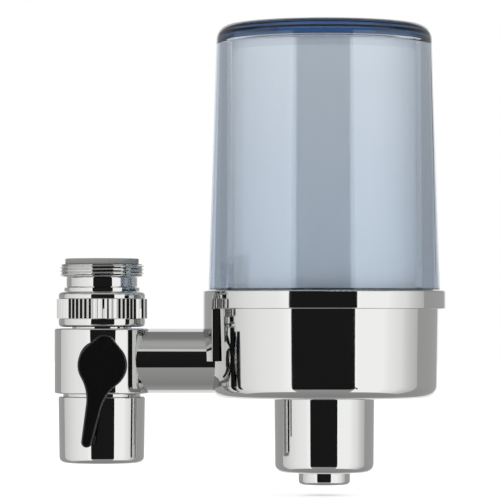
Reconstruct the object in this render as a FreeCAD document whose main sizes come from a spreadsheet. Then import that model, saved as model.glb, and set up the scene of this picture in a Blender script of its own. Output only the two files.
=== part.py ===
import FreeCAD, Part
import math
import os
import re
import Sketcher

# Faucet mount water filter: a two-way diverter with an arm, and a filter head
# with a clear cover. Lengths are in millimetres, +Z is up, and the origin is on
# the diverter's axis at the top end of the inlet thread.

SIZES = {
    # inlet nipple and its washers
    "thread_radius": 12.0,
    "thread_length": 3.55,
    "nipple_neck_radius": 10.1,
    "nipple_neck_length": 3.15,
    "nipple_neck_round": 0.4,
    "nipple_flange_step": 0.65,
    "nipple_flange_thickness": 1.0,
    "nipple_tail_step": 0.1,
    "nipple_tail_length": 4.9,
    "nipple_bore_radius": 7.6,
    "washer_thickness": 1.6,
    "washer_round": 0.3,
    "washer_margin": 1.57,
    "washer_inset": 0.6,
    # union nut, its snap ring and the neck that they turn on
    "nut_gap": 0.1,
    "nut_band_wall": 2.29,
    "nut_shoulder_round": 1.1,
    "nut_foot_round": 0.9,
    "knurl_start": 2.1,
    "knurl_length": 5.5,
    "knurl_shoulder": 0.2,
    "knurl_rise": 0.47,
    "knurl_depth": 0.38,
    "knurl_crest": 0.08,
    "knurl_count": 60,
    "nut_lip_height": 1.5,
    "neck_inset": 1.5,
    "neck_land": 1.0,
    "neck_wall": 2.5,
    "snap_ring_room": 0.4,
    "snap_ring_thickness": 0.8,
    "snap_groove_depth": 0.8,
    "snap_ring_angle": 325.0,
    # clearances
    "thread_clearance": 0.06,
    "running_clearance": 0.08,
    "groove_clearance": 0.1,
    "seat_clearance": 0.05,
    "axial_gap": 0.3,
    # ball, seats and retainer
    "ball_radius": 8.2,
    "ball_room": 0.6,
    "seat_set": 0.6,
    "seat_thickness": 2.6,
    "seat_bore_step": 1.2,
    "seat_spacing": 0.15,
    "side_seat_wall": 1.25,
    "side_seat_set": 1.4,
    "side_seat_thickness": 3.0,
    "port_step": 0.2,
    "retainer_ledge": 0.5,
    "retainer_wall": 4.3,
    "retainer_height": 3.4,
    "retainer_slot_width": 2.0,
    "retainer_slot_depth": 1.2,
    # valve body and its arm
    "body_gap": 0.4,
    "body_roof": 1.65,
    "body_step": 2.45,
    "body_edge_round": 0.5,
    "spigot_wall": 1.75,
    "spigot_length": 5.7,
    "arm_margin": 0.05,
    "arm_spigot_step": 3.6,
    "arm_spigot_wall": 2.0,
    "boss_wall": 2.42,
    "boss_rise": 0.8,
    # stem, its O-rings and the lever
    "slot_width": 2.5,
    "slot_length": 7.0,
    "slot_depth": 2.4,
    "stem_flange_step": 0.8,
    "stem_flange_gap": 0.8,
    "stem_flange_thickness": 1.0,
    "stem_radius": 3.5,
    "stem_square": 4.6,
    "stem_ring_wire": 0.5,
    "stem_ring_inset": 1.15,
    "stem_ring_pitch": 1.7,
    "lever_thickness": 3.8,
    "lever_skin": 1.0,
    "lever_bevel": 0.55,
    "lever_head_radius": 6.9,
    "lever_head_shift": 0.8,
    "lever_head_drop": 1.0,
    "lever_apex_radius": 3.0,
    "lever_apex_shift": 1.4,
    "lever_apex_rise": 4.5,
    "lever_waist_left": 3.7,
    "lever_waist_left_drop": 12.0,
    "lever_waist_right": 0.5,
    "lever_waist_right_drop": 13.0,
    "lever_tip_radius": 1.5,
    "lever_tip_shift": 3.55,
    "lever_tip_drop": 22.5,
    # aerator
    "collar_gap": 0.8,
    "collar_height": 18.9,
    "collar_wall": 1.29,
    "collar_taper": 0.3,
    "collar_foot_round": 1.8,
    "collar_edge_round": 0.4,
    "collar_lip_height": 1.3,
    "collar_lip_step": 0.7,
    "collar_ledge_step": 1.21,
    "aerator_washer_width": 3.0,
    "cage_flange_thickness": 1.4,
    "cage_wall": 1.1,
    "cage_floor": 1.2,
    "cage_hole_radius": 1.15,
    "cage_hole_inset": 2.35,
    "cage_inner_count": 6,
    "cage_outer_count": 12,
    "screen_thickness": 0.5,
    "screen_hole_radius": 0.55,
    # filter head
    "filter_axis": 63.2,
    "ring_above_arm": 10.75,
    "ring_height": 5.2,
    "ring_wall": 1.95,
    "ring_lip_height": 1.0,
    "ring_lip_reach": 1.0,
    "ring_edge_round": 0.45,
    "saddle_cheek": 4.4,
    "saddle_round": 0.3,
    "saddle_clearance": 0.15,
    "bowl_radius": 32.6,
    "bowl_taper": 0.5,
    "bowl_below_arm": 1.25,
    "bowl_corner": 3.6,
    "bowl_wall": 2.5,
    "seal_bore_wall": 1.4,
    "seal_bore_depth": 3.1,
    "cover_thread_wall": 2.0,
    "cover_thread_depth": 5.4,
    "cup_radius": 14.3,
    "cup_taper": 0.2,
    "cup_height": 21.2,
    "cup_corner": 2.5,
    "cup_wall": 2.3,
    "nozzle_radius": 7.37,
    "nozzle_height": 3.5,
    "nozzle_corner": 1.2,
    "nozzle_wall": 2.37,
    "seat_tube_bore": 7.1,
    "seat_tube_wall": 2.2,
    "seat_tube_rise": 2.25,
    "arm_pad_reach": 0.4,
    "arm_pad_thickness": 5.0,
    "arm_ring_inset": 2.0,
    "arm_ring_wire": 0.7,
    "lock_nut_wall": 1.9,
    "lock_nut_height": 4.0,
    "spigot_overrun": 0.8,
    # cover and its O-ring
    "cover_gap": 0.2,
    "cover_overhang": 0.3,
    "cover_taper": 2.35,
    "cover_height": 75.4,
    "cover_corner": 4.2,
    "cover_top_wall": 4.4,
    "cover_skirt_wall": 2.3,
    "cover_inner_taper": 0.4,
    "cover_inner_corner": 1.2,
    "cover_skirt_length": 8.4,
    "cover_land_length": 1.9,
    "cover_groove_depth": 1.8,
    "cover_ring_wire": 0.85,
    # cartridge
    "cartridge_room": 1.4,
    "cartridge_headroom": 0.5,
    "wrap_thickness": 2.6,
    "core_bore_radius": 6.5,
    "cap_thickness": 2.8,
    "cap_recess_radius": 12.0,
    "cap_recess_depth": 1.2,
    "cap_boss_height": 3.2,
    "cartridge_spigot_gap": 0.2,
    "cartridge_spigot_wall": 2.7,
    "cartridge_spigot_length": 11.0,
    "cartridge_ring_wire": 0.75,
    "cartridge_ring_drop": 5.0,
}

# Radii and reaches that follow from the sizes, as formulas of their names, from
# the inlet to the cartridge.
NIPPLE_TAIL = "nipple_neck_radius - nipple_tail_step"
NUT_BORE = NIPPLE_TAIL + " + thread_clearance"
NUT_BAND = NUT_BORE + " + nut_band_wall"
KNURL_RADIUS = NUT_BAND + " + knurl_rise"
NECK = NIPPLE_TAIL + " - neck_inset"
NECK_BORE = NECK + " - neck_wall"
SNAP_RING = NIPPLE_TAIL + " - snap_ring_room"
SNAP_GROOVE = NECK + " - snap_groove_depth"
CHAMBER = "ball_radius + ball_room"
RETAINER = CHAMBER + " + retainer_ledge"
SPIGOT = RETAINER + " + spigot_wall"
BODY = SPIGOT + " + body_step"
SEAT_END = "ball_radius - seat_set"
SIDE_SEAT = SEAT_END + " - seat_thickness - seat_spacing"
SIDE_SEAT_BORE = SIDE_SEAT + " - side_seat_wall"
SIDE_SEAT_END = "ball_radius + side_seat_set"
PORT = SIDE_SEAT_BORE + " - port_step"
HALF_BODY = SEAT_END + " + body_roof"
ARM = HALF_BODY + " - arm_margin"
ARM_SPIGOT = ARM + " - arm_spigot_step"
ARM_BORE = ARM_SPIGOT + " - arm_spigot_wall"
ARM_RING = ARM + " - arm_ring_inset"
STEM_BORE = "stem_radius + running_clearance"
STEM_START = "ball_radius + stem_flange_gap"
STEM_SHOULDER = STEM_START + " + stem_flange_thickness"
STEM_GROOVE = STEM_BORE + " - 2 * stem_ring_wire - groove_clearance"
STEM_RING_HALF = "stem_ring_wire + seat_clearance"
BOSS = STEM_BORE + " + boss_wall"
BOSS_REACH = BODY + " + boss_rise"
STEM_RING_OUTER = BOSS_REACH + " - stem_ring_inset"
STEM_RING_INNER = STEM_RING_OUTER + " - stem_ring_pitch"
LEVER_BACK = BOSS_REACH + " + axial_gap"
SOCKET_DEPTH = "lever_thickness - lever_skin"
COLLAR_BORE = SPIGOT + " + thread_clearance"
COLLAR = COLLAR_BORE + " + collar_wall"
LEDGE_BORE = COLLAR_BORE + " - collar_ledge_step"
CAGE_RIM = COLLAR_BORE + " - groove_clearance"
CAGE = LEDGE_BORE + " - groove_clearance"
CAGE_OUTER_RING = CAGE + " - cage_wall - cage_hole_inset"
CAGE_INNER_RING = "(" + CAGE_OUTER_RING + ") / 2"
SCREEN_SEAT = LEDGE_BORE + " - cage_wall / 2"
RING = "bowl_radius + ring_wall"
SADDLE = ARM + " + saddle_cheek"
SEAL_BORE = "bowl_radius - seal_bore_wall"
COVER_THREAD = "bowl_radius - cover_thread_wall"
SEAT_TUBE = "seat_tube_bore + seat_tube_wall"
ARM_END = "filter_axis - bowl_radius - arm_pad_reach"
PAD_FACE = "-bowl_radius - arm_pad_reach"
PAD_END = ARM_END + " + arm_pad_thickness"
COVER = "bowl_radius + cover_overhang"
COVER_LAND = SEAL_BORE + " - groove_clearance"
COVER_SKIRT = COVER_THREAD + " - axial_gap"
COVER_GROOVE = COVER_LAND + " - cover_groove_depth"
COVER_INNER = COVER_SKIRT + " - cover_skirt_wall"
COVER_INNER_TOP = COVER_INNER + " - cover_inner_taper"
CARTRIDGE = COVER_INNER_TOP + " - cartridge_room"
WRAP_BORE = CARTRIDGE + " - wrap_thickness"
CARTRIDGE_SPIGOT = "seat_tube_bore - cartridge_spigot_gap"
SPIGOT_GROOVE = "seat_tube_bore - 2 * cartridge_ring_wire - groove_clearance"

# Levels, from the top of the inlet thread downwards, and then up the filter head.
FLANGE_FOOT = "-thread_length - nipple_neck_length - nipple_flange_thickness"
NUT_TOP = FLANGE_FOOT + " - nut_gap"
KNURL_TOP = NUT_TOP + " - knurl_start"
KNURL_FOOT = KNURL_TOP + " - knurl_length"
TAIL_END = FLANGE_FOOT + " - nipple_tail_length"
NECK_TOP = TAIL_END + " - washer_thickness"
SNAP_TOP = NECK_TOP + " - neck_land"
SNAP_FOOT = SNAP_TOP + " - snap_ring_thickness"
LIP_TOP = SNAP_FOOT + " - axial_gap"
NUT_FOOT = LIP_TOP + " - nut_lip_height"
BODY_TOP = NUT_FOOT + " - body_gap"
ARM_LEVEL = BODY_TOP + " - (" + HALF_BODY + ")"
BODY_FOOT = ARM_LEVEL + " - (" + HALF_BODY + ")"
SEAT_TOP = ARM_LEVEL + " + " + SEAT_END
SEAT_FOOT = ARM_LEVEL + " - (" + SEAT_END + ")"
SPIGOT_END = BODY_FOOT + " - spigot_length"
COLLAR_TOP = BODY_FOOT + " - collar_gap"
COLLAR_FOOT = COLLAR_TOP + " - collar_height"
WASHER_TOP = SPIGOT_END + " - seat_clearance"
CAGE_TOP = WASHER_TOP + " - washer_thickness - seat_clearance"
LEDGE = CAGE_TOP + " - cage_flange_thickness"
CAGE_FOOT = COLLAR_FOOT + " + collar_lip_height"
RING_TOP = ARM_LEVEL + " + " + ARM + " + ring_above_arm"
RING_FOOT = RING_TOP + " - ring_height"
BOWL_TOP = RING_TOP + " - ring_lip_height"
BOWL_FOOT = ARM_LEVEL + " - (" + ARM + ") - bowl_below_arm"
BOWL_FLOOR = BOWL_FOOT + " + bowl_wall"
SEAL_FOOT = BOWL_TOP + " - seal_bore_depth"
THREAD_FOOT = SEAL_FOOT + " - cover_thread_depth"
CUP_FOOT = BOWL_FOOT + " - cup_height"
CUP_FLOOR = CUP_FOOT + " + cup_wall"
NOZZLE_FOOT = CUP_FOOT + " - nozzle_height"
SEAT_TUBE_TOP = ARM_LEVEL + " + " + ARM + " + seat_tube_rise"
COVER_FOOT = RING_TOP + " + cover_gap"
COVER_TOP = COVER_FOOT + " + cover_height"
COVER_CEILING = COVER_TOP + " - cover_top_wall"
SKIRT_FOOT = COVER_FOOT + " - cover_skirt_length"
GROOVE_TOP = COVER_FOOT + " - cover_land_length"
GROOVE_FOOT = GROOVE_TOP + " - 2 * cover_ring_wire - 2 * groove_clearance"
CAP_FOOT = SEAT_TUBE_TOP + " + cap_boss_height"
WRAP_FOOT = CAP_FOOT + " + cap_thickness"
CARTRIDGE_TOP = COVER_CEILING + " - cartridge_headroom"
WRAP_TOP = CARTRIDGE_TOP + " - cap_thickness"
SPIGOT_RING = SEAT_TUBE_TOP + " - cartridge_ring_drop"

NAME = re.compile(r"\b(?!pi\b)[a-z][a-z_]*")
ALL_ROUND = 360.0
SAME_PLACE = 0.01
LEAST_CUT = 0.001

# Directions that a piece's own upright axis is turned to.
UPRIGHT = FreeCAD.Rotation()
FLIPPED = FreeCAD.Rotation(FreeCAD.Vector(1, 0, 0), 180)
FACING_AWAY = FreeCAD.Rotation(FreeCAD.Vector(1, 0, 0), 90)
SIDEWAYS = FreeCAD.Rotation(FreeCAD.Vector(0, 1, 0), 90)
SIXTH_TURNED = FreeCAD.Rotation(FreeCAD.Vector(0, 0, 1), 30)

doc = FreeCAD.newDocument("FaucetFilter")
sheet = doc.addObject("Spreadsheet::Sheet", "Sizes")
for row, (alias, size) in enumerate(SIZES.items(), start=1):
    sheet.set(f"A{row}", alias)
    sheet.set(f"B{row}", str(size))
    sheet.setAlias(f"B{row}", alias)
doc.recompute()


# Helpers

def bound(formula):
    """The formula as an expression on the sheet's cells."""
    return NAME.sub(lambda word: "Sizes." + word.group(), formula)


def number(formula):
    """The formula's value, in millimetres, degrees or as a count."""
    figures = NAME.sub(lambda word: str(SIZES[word.group()]), formula)
    return FreeCAD.Units.Quantity(figures).Value


def minus(formula):
    return "-(" + formula + ")"


def drive(thing, name, formula):
    thing.setExpression(name, bound(formula))


def new_body(label, across="", level=""):
    """An empty body whose own origin stands at the given place."""
    body = doc.addObject("PartDesign::Body", label)
    body.Label = label
    if across:
        drive(body, "Placement.Base.x", across)
    if level:
        drive(body, "Placement.Base.z", level)
    return body


def new_sketch(body, plane, offset=""):
    """A sketch on one of the body's planes, moved along the plane's normal."""
    sketch = body.newObject("Sketcher::SketchObject", body.Label + "_sketch")
    base_plane = [part for part in body.Origin.OriginFeatures if part.Role == plane][0]
    sketch.AttachmentSupport = [(base_plane, "")]
    sketch.MapMode = "FlatFace"
    if offset:
        drive(sketch, "AttachmentOffset.Base.z", offset)
    return sketch


def pin_point(sketch, edge, end, point):
    """Holds one end of an edge at a place given by two formulas."""
    for kind, formula in zip(("DistanceX", "DistanceY"), point):
        held = sketch.addConstraint(Sketcher.Constraint(kind, -1, 1, edge, end, number(formula)))
        sketch.setExpression(f"Constraints[{held}]", bound(formula))


def pin_radius(sketch, edge, radius):
    held = sketch.addConstraint(Sketcher.Constraint("Radius", edge, number(radius)))
    sketch.setExpression(f"Constraints[{held}]", bound(radius))


def vector(point):
    return FreeCAD.Vector(number(point[0]), number(point[1]), 0)


def draw_outline(sketch, corners):
    """A closed outline of straight edges through the corners."""
    spots = [vector(corner) for corner in corners]
    count = len(corners)
    for index in range(count):
        sketch.addGeometry(Part.LineSegment(spots[index], spots[(index + 1) % count]))
    for index in range(count):
        sketch.addConstraint(Sketcher.Constraint("Coincident", index, 2, (index + 1) % count, 1))
    for index, corner in enumerate(corners):
        pin_point(sketch, index, 1, corner)


def draw_circle(sketch, radius, centre=("0", "0")):
    ring = Part.Circle(vector(centre), FreeCAD.Vector(0, 0, 1), number(radius))
    edge = sketch.addGeometry(ring)
    pin_radius(sketch, edge, radius)
    pin_point(sketch, edge, 3, centre)


def draw_arc(sketch, centre, radius, start, end):
    """An arc about the centre, counterclockwise between the directions of two points."""
    ring = Part.Circle(centre, FreeCAD.Vector(0, 0, 1), radius)
    first, last = [math.atan2(spot.y - centre.y, spot.x - centre.x) for spot in (start, end)]
    span = (last - first) % (2 * math.pi)
    return sketch.addGeometry(Part.ArcOfCircle(ring, first, first + span))


def draw_half_disc(sketch, radius):
    """Half a disc to the right of the upright axis, about the sketch's origin."""
    reach = number(radius)
    top, foot = FreeCAD.Vector(0, reach, 0), FreeCAD.Vector(0, -reach, 0)
    arc = draw_arc(sketch, FreeCAD.Vector(), reach, foot, top)
    line = sketch.addGeometry(Part.LineSegment(top, foot))
    sketch.addConstraint(Sketcher.Constraint("Coincident", arc, 3, -1, 1))
    sketch.addConstraint(Sketcher.Constraint("Coincident", arc, 2, line, 1))
    sketch.addConstraint(Sketcher.Constraint("Coincident", line, 2, arc, 1))
    sketch.addConstraint(Sketcher.Constraint("PointOnObject", line, 1, -2))
    sketch.addConstraint(Sketcher.Constraint("PointOnObject", line, 2, -2))
    pin_radius(sketch, arc, radius)


def turn(body, sketch, cut=False, angle=""):
    """Turns the sketch about its upright axis."""
    kind = "PartDesign::Groove" if cut else "PartDesign::Revolution"
    feature = body.newObject(kind, body.Label + "_turn")
    feature.Profile = sketch
    feature.ReferenceAxis = (sketch, ["V_Axis"])
    feature.Angle = ALL_ROUND
    if angle:
        drive(feature, "Angle", angle)
    doc.recompute()
    return feature


def turned(body, corners, cut=False, plane="XZ_Plane", angle=""):
    sketch = new_sketch(body, plane)
    draw_outline(sketch, corners)
    return turn(body, sketch, cut, angle)


def push(body, sketch, length, cut=False, both_ways=False, reverse=False):
    """Pads or pockets the sketch by the length."""
    kind = "PartDesign::Pocket" if cut else "PartDesign::Pad"
    feature = body.newObject(kind, body.Label + "_push")
    feature.Profile = sketch
    feature.SideType = "Symmetric" if both_ways else "One side"
    feature.Reversed = reverse
    drive(feature, "Length", length)
    doc.recompute()
    return feature


def rectangle(left, right, foot, top):
    return [(left, foot), (right, foot), (right, top), (left, top)]


def centred(width, height):
    """A rectangle about the sketch's origin."""
    across, upward = f"({width}) / 2", f"({height}) / 2"
    return rectangle(minus(across), across, minus(upward), upward)


def repeat_round(body, feature, count):
    """Repeats a feature all round the body's upright axis."""
    pattern = body.newObject("PartDesign::PolarPattern", body.Label + "_pattern")
    pattern.Originals = [feature]
    axis = [part for part in body.Origin.OriginFeatures if part.Role == "Z_Axis"][0]
    pattern.Axis = (axis, [""])
    pattern.Angle = ALL_ROUND
    drive(pattern, "Occurrences", count)
    body.Tip = pattern
    doc.recompute()
    return pattern


def round_edges(body, radius, test):
    """Rounds each edge of the body that passes the test."""
    base = body.Tip
    names = [f"Edge{index}" for index, edge in enumerate(base.Shape.Edges, start=1) if test(edge)]
    fillet = body.newObject("PartDesign::Fillet", body.Label + "_round")
    fillet.Base = (base, names)
    drive(fillet, "Radius", radius)
    doc.recompute()
    return fillet


def on_circle(level, radius):
    """A test for the round edge at a level, with a radius."""
    height = number(level)
    reach = number(radius)

    def test(edge):
        if not isinstance(edge.Curve, Part.Circle):
            return False
        return (abs(edge.Curve.Center.z - height) < SAME_PLACE
                and abs(edge.Curve.Radius - reach) < SAME_PLACE)

    return test


def any_of(*tests):
    return lambda edge: any(test(edge) for test in tests)


def o_ring(label, reach, wire, across="", level="", away=""):
    """A rubber ring whose axis is upright, or points along Y where away is given."""
    ring = doc.addObject("Part::Torus", label)
    ring.Label = label
    drive(ring, "Radius1", reach)
    drive(ring, "Radius2", wire)
    if away:
        ring.Placement = FreeCAD.Placement(FreeCAD.Vector(), FACING_AWAY)
        drive(ring, "Placement.Base.y", away)
    if across:
        drive(ring, "Placement.Base.x", across)
    if level:
        drive(ring, "Placement.Base.z", level)
    return ring


# Inlet: washer, nipple and the washer below it

def make_washer(label, bore, radius, foot):
    body = new_body(label)
    top = foot + " + washer_thickness"
    turned(body, rectangle(bore, radius, foot, top))
    edges = any_of(on_circle(foot, radius), on_circle(top, radius))
    round_edges(body, "washer_round", edges)
    return body


def make_thread_nipple():
    body = new_body("thread_nipple")
    neck_foot = "-thread_length - nipple_neck_length"
    turned(body, [
        ("nipple_bore_radius", "0"),
        ("thread_radius", "0"),
        ("thread_radius", "-thread_length"),
        ("nipple_neck_radius", "-thread_length"),
        ("nipple_neck_radius", neck_foot),
        ("nipple_neck_radius + nipple_flange_step", neck_foot),
        ("nipple_neck_radius + nipple_flange_step", FLANGE_FOOT),
        (NIPPLE_TAIL, FLANGE_FOOT),
        (NIPPLE_TAIL, TAIL_END),
        ("nipple_bore_radius", TAIL_END),
    ])
    round_edges(body, "nipple_neck_round", any_of(
        on_circle("-thread_length", "nipple_neck_radius"), on_circle(neck_foot, "nipple_neck_radius")))
    return body


# Union nut: straight ribs cut one by one into the turned nut

def make_union_nut():
    body = new_body("union_nut")
    turned(body, [
        (NUT_BORE, NUT_TOP),
        (NUT_BAND, NUT_TOP),
        (NUT_BAND, KNURL_TOP + " + knurl_shoulder"),
        (KNURL_RADIUS, KNURL_TOP),
        (KNURL_RADIUS, KNURL_FOOT),
        (NUT_BAND, KNURL_FOOT + " - knurl_shoulder"),
        (NUT_BAND, NUT_FOOT),
        (NECK + " + running_clearance", NUT_FOOT),
        (NECK + " + running_clearance", LIP_TOP),
        (NUT_BORE, LIP_TOP),
    ])
    round_edges(body, "nut_shoulder_round", on_circle(NUT_TOP, NUT_BAND))
    round_edges(body, "nut_foot_round", on_circle(NUT_FOOT, NUT_BAND))
    # The cutter's flanks run on past the crests, so neighbouring grooves leave narrow ribs.
    mouth = "(pi * (" + KNURL_RADIUS + ") / knurl_count - knurl_crest / 2)"
    half_width = mouth + " * (knurl_depth + knurl_shoulder) / knurl_depth"
    sketch = new_sketch(body, "XY_Plane", KNURL_TOP)
    draw_outline(sketch, [
        (KNURL_RADIUS + " - knurl_depth", "0"),
        (KNURL_RADIUS + " + knurl_shoulder", minus(half_width)),
        (KNURL_RADIUS + " + knurl_shoulder", half_width),
    ])
    groove = push(body, sketch, "knurl_length", cut=True)
    repeat_round(body, groove, "knurl_count")
    return body


def make_nut_snap_ring():
    body = new_body("nut_snap_ring")
    inner = SNAP_GROOVE + " + groove_clearance"
    turned(body, rectangle(inner, SNAP_RING, SNAP_FOOT, SNAP_TOP), angle="snap_ring_angle")
    return body


# Valve body: neck, drum, arm with its spigot, stem boss and lower spigot in one

def make_valve_body():
    body = new_body("valve_body")
    turned(body, [
        ("0", NECK_TOP),
        (NECK, NECK_TOP),
        (NECK, SNAP_TOP + " + groove_clearance"),
        (SNAP_GROOVE, SNAP_TOP + " + groove_clearance"),
        (SNAP_GROOVE, SNAP_FOOT + " - groove_clearance"),
        (NECK, SNAP_FOOT + " - groove_clearance"),
        (NECK, BODY_TOP),
        (BODY, BODY_TOP),
        (BODY, BODY_FOOT),
        (SPIGOT, BODY_FOOT),
        (SPIGOT, SPIGOT_END),
        ("0", SPIGOT_END),
    ])
    round_edges(body, "body_edge_round", any_of(on_circle(BODY_TOP, BODY), on_circle(BODY_FOOT, BODY)))
    arm = new_sketch(body, "YZ_Plane")
    draw_circle(arm, ARM, ("0", ARM_LEVEL))
    push(body, arm, ARM_END)
    thread = new_sketch(body, "YZ_Plane", ARM_END)
    draw_circle(thread, ARM_SPIGOT, ("0", ARM_LEVEL))
    push(body, thread, "arm_pad_thickness + lock_nut_height + spigot_overrun")
    boss = new_sketch(body, "XZ_Plane")
    draw_circle(boss, BOSS, ("0", ARM_LEVEL))
    push(body, boss, BOSS_REACH)
    turned(body, [
        ("0", NECK_TOP),
        (NECK_BORE, NECK_TOP),
        (NECK_BORE, SEAT_TOP),
        (CHAMBER, SEAT_TOP),
        (CHAMBER, SEAT_FOOT),
        (RETAINER + " + thread_clearance", SEAT_FOOT),
        (RETAINER + " + thread_clearance", SPIGOT_END),
        ("0", SPIGOT_END),
    ], cut=True)
    for radius, reach in (
        (SIDE_SEAT + " + seat_clearance", SIDE_SEAT_END + " + seat_clearance"),
        (ARM_BORE, PAD_END + " + lock_nut_height + spigot_overrun"),
    ):
        bore = new_sketch(body, "YZ_Plane")
        draw_circle(bore, radius, ("0", ARM_LEVEL))
        push(body, bore, reach, cut=True, reverse=True)
    for radius, reach in (
        ("stem_radius + stem_flange_step + groove_clearance", STEM_SHOULDER + " + groove_clearance"),
        (STEM_BORE, BOSS_REACH),
    ):
        bore = new_sketch(body, "XZ_Plane")
        draw_circle(bore, radius, ("0", ARM_LEVEL))
        push(body, bore, reach, cut=True, reverse=True)
    return body


# Ball with its three ports, the seats round it and the ring that holds them in

def make_valve_ball():
    body = new_body("valve_ball", level=ARM_LEVEL)
    disc = new_sketch(body, "XZ_Plane")
    draw_half_disc(disc, "ball_radius")
    turn(body, disc)
    upright = new_sketch(body, "XY_Plane")
    draw_circle(upright, PORT)
    push(body, upright, "3 * ball_radius", cut=True, both_ways=True)
    side = new_sketch(body, "YZ_Plane")
    draw_circle(side, PORT)
    push(body, side, "2 * ball_radius", cut=True)
    slot = new_sketch(body, "XZ_Plane", "ball_radius")
    draw_outline(slot, centred("slot_width", "slot_length"))
    push(body, slot, "slot_depth", cut=True)
    return body


def make_seat(label, rotation, bore, radius, start, end):
    """A plastic ring whose inner face is ground to the ball."""
    body = new_body(label)
    body.Placement = FreeCAD.Placement(FreeCAD.Vector(), rotation)
    drive(body, "Placement.Base.z", ARM_LEVEL)
    turned(body, rectangle(bore, radius, start, end))
    disc = new_sketch(body, "XZ_Plane")
    draw_half_disc(disc, "ball_radius + running_clearance")
    turn(body, disc, cut=True)
    return body


def make_seat_retainer():
    body = new_body("seat_retainer")
    foot = SEAT_FOOT + " - retainer_height"
    turned(body, rectangle(RETAINER + " - retainer_wall", RETAINER, foot, SEAT_FOOT))
    slot = new_sketch(body, "XY_Plane", foot)
    draw_outline(slot, centred("3 * (" + RETAINER + ")", "retainer_slot_width"))
    push(body, slot, "retainer_slot_depth", cut=True, reverse=True)
    return body


# Stem: drives the ball's slot, runs in two O-rings and ends in a square

def make_valve_stem():
    body = new_body("valve_stem", level=ARM_LEVEL)
    centres = (STEM_RING_INNER, STEM_RING_OUTER)
    corners = [
        ("0", minus(STEM_START)),
        ("stem_radius + stem_flange_step", minus(STEM_START)),
        ("stem_radius + stem_flange_step", minus(STEM_SHOULDER)),
        ("stem_radius", minus(STEM_SHOULDER)),
    ]
    for centre in centres:
        near = minus(centre + " - (" + STEM_RING_HALF + ")")
        far = minus(centre + " + " + STEM_RING_HALF)
        corners += [("stem_radius", near), (STEM_GROOVE, near), (STEM_GROOVE, far), ("stem_radius", far)]
    corners += [("stem_radius", minus(LEVER_BACK)), ("0", minus(LEVER_BACK))]
    turned(body, corners, plane="XY_Plane")
    tang_foot = "ball_radius - slot_depth + groove_clearance"
    tang = new_sketch(body, "XZ_Plane", tang_foot)
    draw_outline(tang, centred("slot_width - 2 * groove_clearance", "slot_length - 2 * axial_gap"))
    push(body, tang, STEM_START + " - (" + tang_foot + ")")
    square = new_sketch(body, "XZ_Plane", LEVER_BACK)
    draw_outline(square, centred("stem_square", "stem_square"))
    push(body, square, SOCKET_DEPTH + " - groove_clearance")
    return body


def make_stem_o_rings():
    reach = STEM_BORE + " - seat_clearance - stem_ring_wire"
    first = o_ring("stem_ring_inner", reach, "stem_ring_wire", level=ARM_LEVEL, away=minus(STEM_RING_INNER))
    second = o_ring("stem_ring_outer", reach, "stem_ring_wire", level=ARM_LEVEL,
                    away=minus(STEM_RING_OUTER))
    pair = doc.addObject("Part::Compound", "stem_o_rings")
    pair.Label = "stem_o_rings"
    pair.Links = [first, second]
    return pair


# Lever: a flat teardrop head that runs into a thin blade, all in tangent curves

LEFT = 1
RIGHT = -1


def touching_edge(first, first_radius, second, second_radius, side):
    """The straight edge that touches two circles, on one side of the way between them."""
    run = second - first
    turned_by = side * math.acos((first_radius - second_radius) / run.Length)
    out = FreeCAD.Rotation(FreeCAD.Vector(0, 0, 1), math.degrees(turned_by)).multVec(run).normalize()
    return first + out * first_radius, second + out * second_radius


def waist_centre(waist, out, head, head_radius):
    """The centre of the arc that leaves the blade at its waist and meets the round head."""
    gap = waist - head
    reach = (gap.dot(gap) - head_radius ** 2) / (2 * (head_radius - gap.dot(out)))
    return waist + out * reach


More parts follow.
